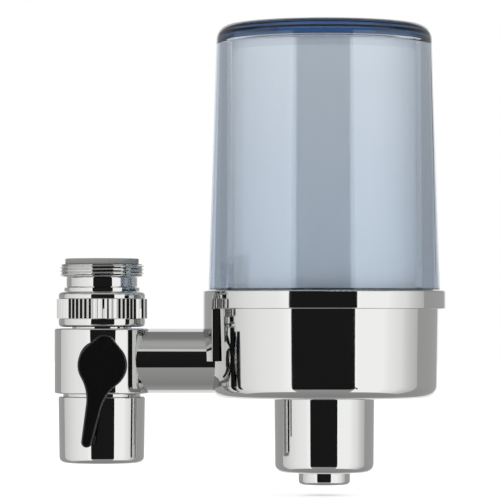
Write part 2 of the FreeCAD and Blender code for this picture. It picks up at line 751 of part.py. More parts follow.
def make_lever():
    body = new_body("lever", level=ARM_LEVEL)
    sketch = new_sketch(body, "XZ_Plane", LEVER_BACK)
    head_place = ("lever_head_shift", "-lever_head_drop")
    apex_place = ("lever_apex_shift", "lever_apex_rise")
    tip_place = ("-lever_tip_shift", "-lever_tip_drop")
    waist_places = {
        RIGHT: ("lever_waist_right", "-lever_waist_right_drop"),
        LEFT: ("-lever_waist_left", "-lever_waist_left_drop"),
    }
    head, apex, tip = vector(head_place), vector(apex_place), vector(tip_place)
    head_radius, apex_radius, tip_radius = [
        number(f"lever_{end}_radius") for end in ("head", "apex", "tip")]
    brows, flanks, centres, bends = {}, {}, {}, {}
    for side, place in waist_places.items():
        brows[side] = touching_edge(head, head_radius, apex, apex_radius, side)
        flanks[side] = touching_edge(vector(place), 0, tip, tip_radius, -side)
        waist, foot = flanks[side]
        centres[side] = waist_centre(waist, (foot - tip).normalize(), head, head_radius)
        bends[side] = (centres[side] - waist).Length
    head_right = draw_arc(sketch, head, head_radius, centres[RIGHT], brows[RIGHT][0])
    top_right = sketch.addGeometry(Part.LineSegment(*brows[RIGHT]))
    apex_arc = draw_arc(sketch, apex, apex_radius, brows[RIGHT][1], brows[LEFT][1])
    top_left = sketch.addGeometry(Part.LineSegment(brows[LEFT][1], brows[LEFT][0]))
    head_left = draw_arc(sketch, head, head_radius, brows[LEFT][0], centres[LEFT])
    waist_left_arc = draw_arc(sketch, centres[LEFT], bends[LEFT], flanks[LEFT][0], head)
    blade_left = sketch.addGeometry(Part.LineSegment(*flanks[LEFT]))
    tip_arc = draw_arc(sketch, tip, tip_radius, flanks[LEFT][1], flanks[RIGHT][1])
    blade_right = sketch.addGeometry(Part.LineSegment(flanks[RIGHT][1], flanks[RIGHT][0]))
    waist_right_arc = draw_arc(sketch, centres[RIGHT], bends[RIGHT], head, flanks[RIGHT][0])
    joints = (
        (head_right, 2, top_right, 1), (top_right, 2, apex_arc, 1), (apex_arc, 2, top_left, 1),
        (top_left, 2, head_left, 1), (head_left, 2, waist_left_arc, 2), (waist_left_arc, 1, blade_left, 1),
        (blade_left, 2, tip_arc, 1), (tip_arc, 2, blade_right, 1), (blade_right, 2, waist_right_arc, 2),
        (waist_right_arc, 1, head_right, 1),
    )
    for arc in (head_right, head_left):
        pin_point(sketch, arc, 3, head_place)
        pin_radius(sketch, arc, "lever_head_radius")
    pin_point(sketch, apex_arc, 3, apex_place)
    pin_radius(sketch, apex_arc, "lever_apex_radius")
    pin_point(sketch, tip_arc, 3, tip_place)
    pin_radius(sketch, tip_arc, "lever_tip_radius")
    pin_point(sketch, blade_left, 1, waist_places[LEFT])
    pin_point(sketch, blade_right, 2, waist_places[RIGHT])
    for edge, end, following, start in joints:
        sketch.addConstraint(Sketcher.Constraint("Tangent", edge, end, following, start))
    push(body, sketch, "lever_thickness")
    front = -number(LEVER_BACK + " + lever_thickness")
    round_edges(body, "lever_bevel", lambda edge: all(
        abs(corner.Y - front) < SAME_PLACE for corner in edge.Vertexes))
    socket = new_sketch(body, "XZ_Plane", LEVER_BACK)
    hollow = "stem_square + 2 * seat_clearance"
    draw_outline(socket, centred(hollow, hollow))
    push(body, socket, SOCKET_DEPTH, cut=True, reverse=True)
    return body


# Aerator: collar, washer, and a moulded cage under a pierced screen

def make_aerator_collar():
    body = new_body("aerator_collar")
    foot_radius = COLLAR + " - collar_taper"
    lip_bore = LEDGE_BORE + " - collar_lip_step"
    turned(body, [
        (COLLAR_BORE, COLLAR_TOP),
        (COLLAR, COLLAR_TOP),
        (foot_radius, COLLAR_FOOT),
        (lip_bore, COLLAR_FOOT),
        (lip_bore, CAGE_FOOT),
        (LEDGE_BORE, CAGE_FOOT),
        (LEDGE_BORE, LEDGE),
        (COLLAR_BORE, LEDGE),
    ])
    round_edges(body, "collar_foot_round", on_circle(COLLAR_FOOT, foot_radius))
    round_edges(body, "collar_edge_round", on_circle(COLLAR_TOP, COLLAR))
    return body


def make_aerator_washer():
    body = new_body("aerator_washer")
    bore = CAGE_RIM + " - aerator_washer_width"
    turned(body, rectangle(bore, CAGE_RIM, WASHER_TOP + " - washer_thickness", WASHER_TOP))
    return body


def drill_ring(body, level, radius, reach, count, depth):
    """A ring of round holes from a level downwards."""
    sketch = new_sketch(body, "XY_Plane", level)
    draw_circle(sketch, radius, (reach, "0"))
    hole = push(body, sketch, depth, cut=True)
    repeat_round(body, hole, count)


def make_aerator_cage():
    body = new_body("aerator_cage")
    foot = CAGE_FOOT + " + seat_clearance"
    floor = foot + " + cage_floor"
    inner = CAGE + " - cage_wall"
    screen_seat = CAGE_TOP + " - screen_thickness - groove_clearance"
    turned(body, [
        ("0", foot),
        (CAGE, foot),
        (CAGE, LEDGE),
        (CAGE_RIM, LEDGE),
        (CAGE_RIM, CAGE_TOP),
        (SCREEN_SEAT, CAGE_TOP),
        (SCREEN_SEAT, screen_seat),
        (inner, screen_seat),
        (inner, floor),
        ("0", floor),
    ])
    drill_ring(body, floor, "cage_hole_radius", CAGE_INNER_RING, "cage_inner_count", "cage_floor")
    drill_ring(body, floor, "cage_hole_radius", CAGE_OUTER_RING, "cage_outer_count", "cage_floor")
    return body


def make_aerator_screen():
    body = new_body("aerator_screen")
    top = CAGE_TOP + " - seat_clearance"
    turned(body, rectangle("0", SCREEN_SEAT + " - seat_clearance", top + " - screen_thickness", top))
    for reach, count in ((CAGE_INNER_RING, "cage_inner_count"), (CAGE_OUTER_RING, "cage_outer_count")):
        drill_ring(body, top, "screen_hole_radius", reach, count, "screen_thickness")
    return body


# Filter head: bowl with cup and nozzle, the ring with its saddle, and the arm's fixing

def make_base_bowl():
    body = new_body("base_bowl", across="filter_axis")
    bowl_foot_radius = "bowl_radius - bowl_taper"
    cup_foot_radius = "cup_radius - cup_taper"
    nozzle_bore = "nozzle_radius - nozzle_wall"
    turned(body, [
        ("bowl_radius", BOWL_TOP),
        (bowl_foot_radius, BOWL_FOOT),
        ("cup_radius", BOWL_FOOT),
        (cup_foot_radius, CUP_FOOT),
        ("nozzle_radius", CUP_FOOT),
        ("nozzle_radius", NOZZLE_FOOT),
        (nozzle_bore, NOZZLE_FOOT),
        (nozzle_bore, CUP_FLOOR),
        (cup_foot_radius + " - cup_wall", CUP_FLOOR),
        ("cup_radius - cup_wall", BOWL_FOOT),
        ("seat_tube_bore", BOWL_FOOT),
        ("seat_tube_bore", SEAT_TUBE_TOP),
        (SEAT_TUBE, SEAT_TUBE_TOP),
        (SEAT_TUBE, BOWL_FLOOR),
        (bowl_foot_radius + " - bowl_wall", BOWL_FLOOR),
        ("bowl_radius - bowl_wall", THREAD_FOOT),
        (COVER_THREAD, THREAD_FOOT),
        (COVER_THREAD, SEAL_FOOT),
        (SEAL_BORE, SEAL_FOOT),
        (SEAL_BORE, BOWL_TOP),
    ])
    round_edges(body, "bowl_corner", on_circle(BOWL_FOOT, bowl_foot_radius))
    round_edges(body, "cup_corner", on_circle(CUP_FOOT, cup_foot_radius))
    round_edges(body, "nozzle_corner", on_circle(NOZZLE_FOOT, "nozzle_radius"))
    pad = new_sketch(body, "YZ_Plane", PAD_FACE)
    draw_circle(pad, ARM, ("0", ARM_LEVEL))
    push(body, pad, "arm_pad_thickness")
    groove = new_sketch(body, "YZ_Plane", PAD_FACE)
    draw_circle(groove, ARM_RING + " + arm_ring_wire + seat_clearance", ("0", ARM_LEVEL))
    draw_circle(groove, ARM_RING + " - arm_ring_wire - seat_clearance", ("0", ARM_LEVEL))
    push(body, groove, "2 * arm_ring_wire + groove_clearance", cut=True, reverse=True)
    hole = new_sketch(body, "YZ_Plane", PAD_FACE)
    draw_circle(hole, ARM_SPIGOT + " + thread_clearance", ("0", ARM_LEVEL))
    push(body, hole, "arm_pad_thickness", cut=True, reverse=True)
    return body


def make_base_ring():
    body = new_body("base_ring", across="filter_axis")
    inner = "bowl_radius + seat_clearance"
    lip_bore = "bowl_radius - ring_lip_reach"
    turned(body, [
        (lip_bore, RING_TOP),
        (RING, RING_TOP),
        (RING, RING_FOOT),
        (inner, RING_FOOT),
        (inner, BOWL_TOP),
        (lip_bore, BOWL_TOP),
    ])
    round_edges(body, "ring_edge_round", on_circle(RING_TOP, RING))
    saddle = new_sketch(body, "XY_Plane", RING_FOOT)
    radius, inner_radius, side = [number(size) for size in (RING, inner, SADDLE)]
    depth = math.sqrt(radius ** 2 - side ** 2)
    corners = FreeCAD.Vector(-depth, side, 0), FreeCAD.Vector(-depth, -side, 0)
    outer_arc = draw_arc(saddle, FreeCAD.Vector(), radius, *corners)
    inner_arc = draw_arc(saddle, FreeCAD.Vector(), inner_radius, *corners)
    for end, place in ((1, SADDLE), (2, minus(SADDLE))):
        start_point = saddle.getPoint(outer_arc, end)
        end_point = saddle.getPoint(inner_arc, end)
        wall = saddle.addGeometry(Part.LineSegment(start_point, end_point))
        saddle.addConstraint(Sketcher.Constraint("Coincident", outer_arc, end, wall, 1))
        saddle.addConstraint(Sketcher.Constraint("Coincident", inner_arc, end, wall, 2))
        saddle.addConstraint(Sketcher.Constraint("Horizontal", wall))
        held = saddle.addConstraint(Sketcher.Constraint("DistanceY", -1, 1, wall, 1, number(place)))
        saddle.setExpression(f"Constraints[{held}]", bound(place))
    for arc, size in ((outer_arc, RING), (inner_arc, inner)):
        saddle.addConstraint(Sketcher.Constraint("Coincident", arc, 3, -1, 1))
        pin_radius(saddle, arc, size)
    push(body, saddle, RING_FOOT + " - (" + ARM_LEVEL + ")", reverse=True)
    drop = number(RING_FOOT + " - (" + ARM_LEVEL + ")")
    round_edges(body, "saddle_round", lambda edge: abs(edge.Length - drop) < SAME_PLACE and all(
        abs(abs(corner.Y) - side) < SAME_PLACE
        and abs(math.hypot(corner.X, corner.Y) - radius) < SAME_PLACE
        for corner in edge.Vertexes))
    notch = new_sketch(body, "YZ_Plane")
    draw_circle(notch, ARM + " + saddle_clearance", ("0", ARM_LEVEL))
    push(body, notch, "2 * (" + RING + ")", cut=True)
    return body


def make_arm_lock_nut():
    prism = doc.addObject("Part::Prism", "lock_nut_blank")
    prism.Polygon = 6
    prism.setExpression("Circumradius", "(" + bound(ARM_SPIGOT + " + lock_nut_wall") + ") / cos(30 deg)")
    drive(prism, "Height", "lock_nut_height")
    bore = doc.addObject("Part::Cylinder", "lock_nut_bore")
    drive(bore, "Radius", ARM_SPIGOT + " + thread_clearance")
    drive(bore, "Height", "lock_nut_height")
    nut = doc.addObject("Part::Cut", "arm_lock_nut")
    nut.Base = prism
    nut.Tool = bore
    nut.Label = "arm_lock_nut"
    # Two corners of the hexagon point sideways, so its lowest flat clears the bowl's floor.
    nut.Placement = FreeCAD.Placement(FreeCAD.Vector(), SIDEWAYS * SIXTH_TURNED)
    drive(nut, "Placement.Base.x", PAD_END)
    drive(nut, "Placement.Base.z", ARM_LEVEL)
    return nut


def make_arm_o_ring():
    ring = o_ring("arm_o_ring", ARM_RING, "arm_ring_wire",
                  across=ARM_END + " + arm_ring_wire + seat_clearance", level=ARM_LEVEL)
    ring.Placement = FreeCAD.Placement(FreeCAD.Vector(), SIDEWAYS)
    return ring


# Cover: one thick clear moulding with a screwed skirt

def make_cover():
    body = new_body("cover", across="filter_axis")
    top_radius = COVER + " - cover_taper"
    turned(body, [
        ("0", COVER_TOP),
        (top_radius, COVER_TOP),
        (COVER, COVER_FOOT),
        (COVER_LAND, COVER_FOOT),
        (COVER_LAND, GROOVE_TOP),
        (COVER_GROOVE, GROOVE_TOP),
        (COVER_GROOVE, GROOVE_FOOT),
        (COVER_SKIRT, GROOVE_FOOT),
        (COVER_SKIRT, SKIRT_FOOT),
        (COVER_INNER, SKIRT_FOOT),
        (COVER_INNER_TOP, COVER_CEILING),
        ("0", COVER_CEILING),
    ])
    round_edges(body, "cover_corner", on_circle(COVER_TOP, top_radius))
    round_edges(body, "cover_inner_corner", on_circle(COVER_CEILING, COVER_INNER_TOP))
    return body


def make_cover_o_ring():
    middle = GROOVE_TOP + " - groove_clearance - cover_ring_wire"
    return o_ring("cover_o_ring", COVER_GROOVE + " + seat_clearance + cover_ring_wire",
                  "cover_ring_wire", across="filter_axis", level=middle)


# Cartridge: a carbon block in a white wrap between two caps, sealed in the seat tube

def make_cartridge_wrap():
    body = new_body("cartridge_wrap", across="filter_axis")
    turned(body, rectangle(WRAP_BORE, CARTRIDGE, WRAP_FOOT, WRAP_TOP))
    return body


def make_cartridge_core():
    body = new_body("cartridge_core", across="filter_axis")
    radius = WRAP_BORE + " - seat_clearance"
    turned(body, rectangle("core_bore_radius", radius, WRAP_FOOT, WRAP_TOP))
    return body


def make_cartridge_top_cap():
    body = new_body("cartridge_top_cap", across="filter_axis")
    recess = CARTRIDGE_TOP + " - cap_recess_depth"
    turned(body, [
        ("0", WRAP_TOP),
        (CARTRIDGE, WRAP_TOP),
        (CARTRIDGE, CARTRIDGE_TOP),
        ("cap_recess_radius", CARTRIDGE_TOP),
        ("cap_recess_radius", recess),
        ("0", recess),
    ])
    return body


def make_cartridge_bottom_cap():
    body = new_body("cartridge_bottom_cap", across="filter_axis")
    foot = SEAT_TUBE_TOP + " - cartridge_spigot_length"
    half = "cartridge_ring_wire + groove_clearance"
    spigot_bore = CARTRIDGE_SPIGOT + " - cartridge_spigot_wall"
    turned(body, [
        (spigot_bore, foot),
        (CARTRIDGE_SPIGOT, foot),
        (CARTRIDGE_SPIGOT, SPIGOT_RING + " - (" + half + ")"),
        (SPIGOT_GROOVE, SPIGOT_RING + " - (" + half + ")"),
        (SPIGOT_GROOVE, SPIGOT_RING + " + " + half),
        (CARTRIDGE_SPIGOT, SPIGOT_RING + " + " + half),
        (CARTRIDGE_SPIGOT, SEAT_TUBE_TOP),
        (SEAT_TUBE, SEAT_TUBE_TOP),
        (SEAT_TUBE, CAP_FOOT),
        (CARTRIDGE, CAP_FOOT),
        (CARTRIDGE, WRAP_FOOT),
        (spigot_bore, WRAP_FOOT),
    ])
    return body


def make_cartridge_seal():
    return o_ring("cartridge_seal", "seat_tube_bore - seat_clearance - cartridge_ring_wire",
                  "cartridge_ring_wire", across="filter_axis", level=SPIGOT_RING)


main_seat_sizes = (
    PORT + " + seat_bore_step", CHAMBER + " - groove_clearance", SEAT_END + " - seat_thickness", SEAT_END)
side_seat_sizes = (SIDE_SEAT_BORE, SIDE_SEAT, SIDE_SEAT_END + " - side_seat_thickness", SIDE_SEAT_END)

pieces = [
    make_washer("faucet_washer", "nipple_bore_radius + washer_inset", "thread_radius - washer_margin", "0"),
    make_thread_nipple(),
    make_washer("nipple_washer", NECK_BORE, NIPPLE_TAIL + " - groove_clearance", NECK_TOP),
    make_union_nut(),
    make_nut_snap_ring(),
    make_valve_body(),
    make_valve_ball(),
    make_seat("seat_top", UPRIGHT, *main_seat_sizes),
    make_seat("seat_bottom", FLIPPED, *main_seat_sizes),
    make_seat("seat_side", SIDEWAYS, *side_seat_sizes),
    make_seat_retainer(),
    make_valve_stem(),
    make_stem_o_rings(),
    make_lever(),
    make_aerator_collar(),
    make_aerator_washer(),
    make_aerator_cage(),
    make_aerator_screen(),
    make_base_bowl(),
    make_base_ring(),
    make_arm_lock_nut(),
    make_arm_o_ring(),
    make_cover(),
    make_cover_o_ring(),
    make_cartridge_wrap(),
    make_cartridge_core(),
    make_cartridge_top_cap(),
    make_cartridge_bottom_cap(),
    make_cartridge_seal(),
]
doc.recompute()

# Nothing is written unless every object is sound and every cut has cut something.
for thing in doc.Objects:
    if "Invalid" in thing.State or "Error" in thing.State:
        raise RuntimeError(f"{thing.Name} did not build")
    if thing.TypeId in ("PartDesign::Pocket", "PartDesign::Groove"):
        if thing.Shape.Volume > thing.BaseFeature.Shape.Volume - LEAST_CUT:
            raise RuntimeError(f"{thing.Name} cuts nothing")
for piece in pieces:
    if piece.Shape.isNull() or not piece.Shape.isValid():
        raise RuntimeError(f"{piece.Label} is not a sound solid")

os.makedirs("parts", exist_ok=True)
for piece in pieces:
    piece.Shape.exportStep(f"parts/{piece.Label}.step")
    box = piece.Shape.BoundBox
    print(f"{piece.Label}: {len(piece.Shape.Solids)} solid, {piece.Shape.Volume:.1f} mm3, "
          f"z {box.ZMin:.2f} to {box.ZMax:.2f}")
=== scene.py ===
import math

import bpy
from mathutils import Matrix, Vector


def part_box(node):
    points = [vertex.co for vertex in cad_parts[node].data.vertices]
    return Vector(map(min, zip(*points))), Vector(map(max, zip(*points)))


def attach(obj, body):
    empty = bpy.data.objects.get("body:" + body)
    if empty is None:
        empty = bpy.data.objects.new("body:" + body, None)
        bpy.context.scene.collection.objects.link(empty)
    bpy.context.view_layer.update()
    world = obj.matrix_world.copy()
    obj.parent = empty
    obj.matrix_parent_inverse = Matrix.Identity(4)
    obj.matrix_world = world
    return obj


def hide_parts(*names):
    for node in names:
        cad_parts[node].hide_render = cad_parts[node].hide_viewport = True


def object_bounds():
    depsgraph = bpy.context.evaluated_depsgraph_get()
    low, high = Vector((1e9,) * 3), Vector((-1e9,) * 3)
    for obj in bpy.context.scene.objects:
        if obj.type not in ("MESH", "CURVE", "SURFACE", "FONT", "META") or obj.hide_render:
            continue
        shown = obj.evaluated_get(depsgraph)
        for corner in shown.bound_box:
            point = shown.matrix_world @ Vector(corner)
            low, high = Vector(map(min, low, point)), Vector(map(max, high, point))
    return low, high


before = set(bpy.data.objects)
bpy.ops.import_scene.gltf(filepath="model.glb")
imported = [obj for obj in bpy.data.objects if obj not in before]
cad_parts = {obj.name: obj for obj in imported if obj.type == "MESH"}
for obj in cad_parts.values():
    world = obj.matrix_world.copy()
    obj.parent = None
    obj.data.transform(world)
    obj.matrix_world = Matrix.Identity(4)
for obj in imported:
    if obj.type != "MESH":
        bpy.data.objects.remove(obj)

# Faucet mount water filter. Metres, +Z up, the diverter's axis at x = 0 and the
# filter head's axis to its right. A faucet would be screwed on at the top left.
cad_box = [list(corner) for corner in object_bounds()]
MM = 0.001


# Faucet washer: a grey rubber ring, moulded, that is pressed between the faucet
# and the end of the inlet thread. Rubber is dull, with a fine moulded grain.
NOISE_LOW = 0.3
NOISE_HIGH = 0.7


def linear(code):
    """An sRGB hex colour as linear red, green, blue and alpha."""
    channels = [int(code[place:place + 2], 16) / 255 for place in (1, 3, 5)]
    levels = [part / 12.92 if part <= 0.04045 else ((part + 0.055) / 1.055) ** 2.4 for part in channels]
    return (*levels, 1.0)


def add_node(tree, kind, sockets=(), **settings):
    """Adds a shader node with its settings; each socket gets a value or a link."""
    node = tree.nodes.new(kind)
    for name, value in settings.items():
        setattr(node, name, value)
    for name, value in dict(sockets).items():
        if isinstance(value, bpy.types.NodeSocket):
            tree.links.new(value, node.inputs[name])
        else:
            node.inputs[name].default_value = value
    return node


def new_material(name, shader_values):
    """A material with a shader whose constant values sit on its own sockets."""
    material = bpy.data.materials.new(name)
    material.use_nodes = True
    tree = material.node_tree
    shader = tree.nodes["Principled BSDF"]
    for socket, value in shader_values.items():
        shader.inputs[socket].default_value = value
    return material, tree, shader


def add_grain(tree, shader, size_mm, height_mm, low, high):
    """Fine relief of one size on the surface, with a roughness that varies as it does."""
    place = add_node(tree, "ShaderNodeTexCoord")
    noise = add_node(tree, "ShaderNodeTexNoise", {
        "Vector": place.outputs["Object"], "Scale": 1 / (size_mm * MM), "Detail": 3.0, "Roughness": 0.55,
    })
    spread = add_node(tree, "ShaderNodeMapRange", {
        "Value": noise.outputs["Fac"], "From Min": NOISE_LOW, "From Max": NOISE_HIGH,
        "To Min": low, "To Max": high,
    })
    tree.links.new(spread.outputs["Result"], shader.inputs["Roughness"])
    bump = add_node(tree, "ShaderNodeBump", {
        "Height": noise.outputs["Fac"], "Distance": height_mm * MM, "Strength": 1.0,
    })
    tree.links.new(bump.outputs["Normal"], shader.inputs["Normal"])


def dress(material, *nodes):
    """Gives CAD nodes a material in every slot."""
    for node in nodes:
        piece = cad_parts[node]
        piece.data.materials.clear()
        piece.data.materials.append(material)


grey_rubber, tree, shader = new_material("grey_rubber", {
    "Base Color": linear("#8c8d8b"), "Specular IOR Level": 0.35,
})
add_grain(tree, shader, size_mm=0.25, height_mm=0.02, low=0.55, high=0.7)
dress(grey_rubber, "faucet_washer")


# Inlet nipple: brass, turned, then polished and chrome plated, with an M24x1
# thread cut at its upper end. The thread is cut here, on a turned blank. Chrome
# is a neutral mirror, a little darker than what stands round it.
THREAD_RADIUS = 12.0
THREAD_LENGTH = 3.55
THREAD_PITCH = 1.0
THREAD_DEPTH = 0.55
THREAD_CHAMFER = 0.45
CREST_SHARE = 0.14
OVERCUT = 0.1
NECK_RADIUS = 10.1
NECK_FOOT = -6.7
NECK_ROUND = 0.35
FLANGE_RADIUS = 10.75
FLANGE_FOOT = -7.7
TAIL_RADIUS = 10.0
TAIL_END = -12.6
NIPPLE_BORE = 7.6
ROUND_STEPS = 144
SAME_PLACE = 0.001


def draw_line(name, corners):
    """A new object of one line of edges, in edit mode, through corners of radius and height in mm."""
    bpy.ops.object.select_all(action="DESELECT")
    bpy.ops.mesh.primitive_plane_add(size=MM)
    piece = bpy.context.object
    piece.name = piece.data.name = name
    bpy.ops.object.mode_set(mode="EDIT")
    bpy.ops.mesh.select_all(action="SELECT")
    bpy.ops.mesh.merge(type="CENTER")
    places = [Vector((radius, 0, height)) * MM for radius, height in corners]
    bpy.ops.transform.translate(value=places[0])
    for before, after in zip(places, places[1:]):
        bpy.ops.mesh.extrude_vertices_move(TRANSFORM_OT_translate={"value": after - before})
    return piece


def close_skin():
    """Merges doubles, turns all faces outwards and leaves edit mode."""
    bpy.ops.mesh.select_all(action="SELECT")
    bpy.ops.mesh.remove_doubles(threshold=SAME_PLACE * MM)
    bpy.ops.mesh.normals_make_consistent(inside=False)
    bpy.ops.object.mode_set(mode="OBJECT")


def apply_modifier(piece, kind, **settings):
    """Adds a modifier with its settings and applies it to the mesh."""
    modifier = piece.modifiers.new(kind.lower(), kind)
    for name, value in settings.items():
        setattr(modifier, name, value)
    bpy.context.view_layer.objects.active = piece
    bpy.ops.object.modifier_apply(modifier=modifier.name)


def select_only(piece):
    """Selects one piece and makes it the active one."""
    bpy.ops.object.select_all(action="DESELECT")
    piece.select_set(True)
    bpy.context.view_layer.objects.active = piece


def smooth(piece, degrees):
    """Smooth shading, with an edge wherever the surface turns by more than these degrees."""
    select_only(piece)
    bpy.ops.object.shade_smooth_by_angle(angle=math.radians(degrees))


plated_brass, tree, shader = new_material("chrome_plated_brass", {
    "Base Color": linear("#cfd0ce"), "Metallic": 1.0,
})
add_grain(tree, shader, size_mm=1.8, height_mm=0.0006, low=0.03, high=0.055)
nipple = draw_line("threaded_nipple", [
    (NIPPLE_BORE, 0), (THREAD_RADIUS - THREAD_CHAMFER, 0), (THREAD_RADIUS, -THREAD_CHAMFER),
    (THREAD_RADIUS, THREAD_CHAMFER - THREAD_LENGTH), (THREAD_RADIUS - THREAD_CHAMFER, -THREAD_LENGTH),
    (NECK_RADIUS + NECK_ROUND, -THREAD_LENGTH), (NECK_RADIUS, -THREAD_LENGTH - NECK_ROUND),
    (NECK_RADIUS, NECK_FOOT + NECK_ROUND), (NECK_RADIUS + NECK_ROUND, NECK_FOOT), (FLANGE_RADIUS, NECK_FOOT),
    (FLANGE_RADIUS, FLANGE_FOOT), (TAIL_RADIUS, FLANGE_FOOT), (TAIL_RADIUS, TAIL_END),
    (NIPPLE_BORE, TAIL_END), (NIPPLE_BORE, 0),
])
bpy.ops.mesh.select_all(action="SELECT")
bpy.ops.mesh.spin(steps=ROUND_STEPS, angle=math.tau, center=(0, 0, 0), axis=(0, 0, 1))
close_skin()
root_radius = THREAD_RADIUS - THREAD_DEPTH
mouth_radius = THREAD_RADIUS + OVERCUT * THREAD_DEPTH
half_mouth = (1 - CREST_SHARE) / 2 * THREAD_PITCH * (1 + OVERCUT)
thread_cutter = draw_line("thread_cutter", [
    (root_radius, 0), (mouth_radius, half_mouth), (mouth_radius, -half_mouth), (root_radius, 0),
])
bpy.ops.mesh.select_all(action="SELECT")
bpy.ops.mesh.remove_doubles(threshold=SAME_PLACE * MM)
turns = math.ceil(THREAD_LENGTH / THREAD_PITCH) + 1
bpy.ops.transform.translate(value=(0, 0, -(THREAD_LENGTH + THREAD_PITCH / 2) * MM))
bpy.ops.object.mode_set(mode="OBJECT")
apply_modifier(thread_cutter, "SCREW", angle=math.tau, screw_offset=THREAD_PITCH * MM, iterations=turns,
               steps=ROUND_STEPS, render_steps=ROUND_STEPS, use_merge_vertices=True,
               merge_threshold=SAME_PLACE * MM)
bpy.ops.object.mode_set(mode="EDIT")
bpy.ops.mesh.select_all(action="SELECT")
bpy.ops.mesh.fill_holes(sides=4)
close_skin()
apply_modifier(nipple, "BOOLEAN", operation="DIFFERENCE", object=thread_cutter, solver="EXACT")
bpy.data.objects.remove(thread_cutter)
select_only(nipple)
bpy.ops.object.mode_set(mode="EDIT")
close_skin()
smooth(nipple, degrees=30)
nipple.data.materials.clear()
nipple.data.materials.append(plated_brass)
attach(nipple, "inlet")
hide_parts("thread_nipple")


# Diverter: brass, turned or cast, then polished and chrome plated. The plating
# is a clean mirror with the slightest haze and lay of the polishing wheel.
dress(plated_brass, "union_nut", "valve_body", "valve_ball", "aerator_collar")


# Bowl and ring: ABS, moulded, then chrome plated. The mirror is as bright as on
# brass, with the faint slow waves of a moulding. The ring is a copy of its solid with
# the outer edge of its foot rounded, which gives the thin line above the bowl.
RING_HEIGHT = 5.2
RING_EDGE = 0.3
RING_EDGE_STEPS = 4
FLAT_DEGREES = 0.5
LEVEL_SLACK = 0.01
RADIUS_SLACK = 0.02

plated_plastic, tree, shader = new_material("chrome_plated_abs", {
    "Base Color": linear("#cfd0ce"), "Metallic": 1.0,
})
add_grain(tree, shader, size_mm=9.0, height_mm=0.002, low=0.03, high=0.055)
dress(plated_plastic, "base_bowl")
trim_ring = bpy.data.objects.new("trim_ring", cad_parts["base_ring"].data.copy())
bpy.context.collection.objects.link(trim_ring)
select_only(trim_ring)
bpy.ops.mesh.customdata_custom_splitnormals_clear()
bpy.ops.object.mode_set(mode="EDIT")
bpy.ops.mesh.select_all(action="SELECT")
bpy.ops.mesh.remove_doubles(threshold=SAME_PLACE * MM)
bpy.ops.mesh.dissolve_limited(angle_limit=math.radians(FLAT_DEGREES))
bpy.ops.mesh.select_mode(type="EDGE")
bpy.ops.mesh.select_all(action="DESELECT")
bpy.ops.object.mode_set(mode="OBJECT")
ring_low, ring_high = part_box("base_ring")
ring_middle = Vector(((ring_low[0] + ring_high[0]) / 2, 0, ring_high[2] - RING_HEIGHT * MM))
ring_radius = (ring_high[0] - ring_low[0]) / 2
for edge in trim_ring.data.edges:
    ends = [trim_ring.data.vertices[index].co - ring_middle for index in edge.vertices]
    at_foot = all(abs(end.z) < LEVEL_SLACK * MM for end in ends)
    outermost = all(abs(end.length - ring_radius) < RADIUS_SLACK * MM for end in ends)
    edge.select = at_foot and outermost
bpy.ops.object.mode_set(mode="EDIT")
bpy.ops.mesh.bevel(offset=RING_EDGE * MM, offset_type="OFFSET", segments=RING_EDGE_STEPS, clamp_overlap=False)
bpy.ops.mesh.select_mode(type="VERT")
bpy.ops.object.mode_set(mode="OBJECT")
smooth(trim_ring, degrees=40)
apply_modifier(trim_ring, "WEIGHTED_NORMAL", mode="FACE_AREA", weight=50, keep_sharp=True)
trim_ring.data.materials.clear()
trim_ring.data.materials.append(plated_plastic)
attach(trim_ring, "valve")
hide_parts("base_ring")


# Lever: black ABS from a polished mould, fitted on the square end of the stem.
# Its flat front is glossy, with the faint waves of a moulding.
black_plastic, tree, shader = new_material("black_abs", {"Base Color": linear("#0d0d0e")})
add_grain(tree, shader, size_mm=2.5, height_mm=0.002, low=0.2, high=0.26)
dress(black_plastic, "lever")


# Cover: one thick moulding of clear blue SAN with a screwed skirt. The tint lies in
# the depth of the plastic, so the thick top wall is a deep blue seen from the side.
# Painted shade darkens the base colour in two lines: a painted shadow just above the
# moulded foot, for the shaded gap over the ring, and a painted shade at the ceiling's
# inner corner, where the moulding would bend the light away.
DEPTH_DENSITY = 60.0
FOOT_SHADOW = 0.4
FOOT_SHADOW_FADE = 0.2
TOP_WALL = 4.4
CEILING_RADIUS = 26.8
CEILING_SHADE = 0.5
CEILING_SHADE_FADE = 0.9

clear_blue, tree, shader = new_material("clear_blue_san", {
    "Base Color": linear("#ffffff"), "Transmission Weight": 1.0, "IOR": 1.57,
})
add_grain(tree, shader, size_mm=40.0, height_mm=0.002, low=0.0, high=0.01)
place = add_node(tree, "ShaderNodeTexCoord")
parts = add_node(tree, "ShaderNodeSeparateXYZ", {"Vector": place.outputs["Object"]})
foot_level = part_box("base_ring")[1][2]
# Painted shadow: the base colour turns dark grey in a thin line just above the ring's top, for the gap under
# the cover in shade.
above_foot = add_node(tree, "ShaderNodeMapRange", {
    "Value": parts.outputs["Z"], "From Min": foot_level + FOOT_SHADOW * MM,
    "From Max": foot_level + (FOOT_SHADOW + FOOT_SHADOW_FADE) * MM,
})
below_foot = add_node(tree, "ShaderNodeMath", {0: parts.outputs["Z"], 1: foot_level}, operation="LESS_THAN")
clear_of_foot_shadow = add_node(tree, "ShaderNodeMath", {
    0: above_foot.outputs["Result"], 1: below_foot.outputs["Value"],
}, operation="MAXIMUM")
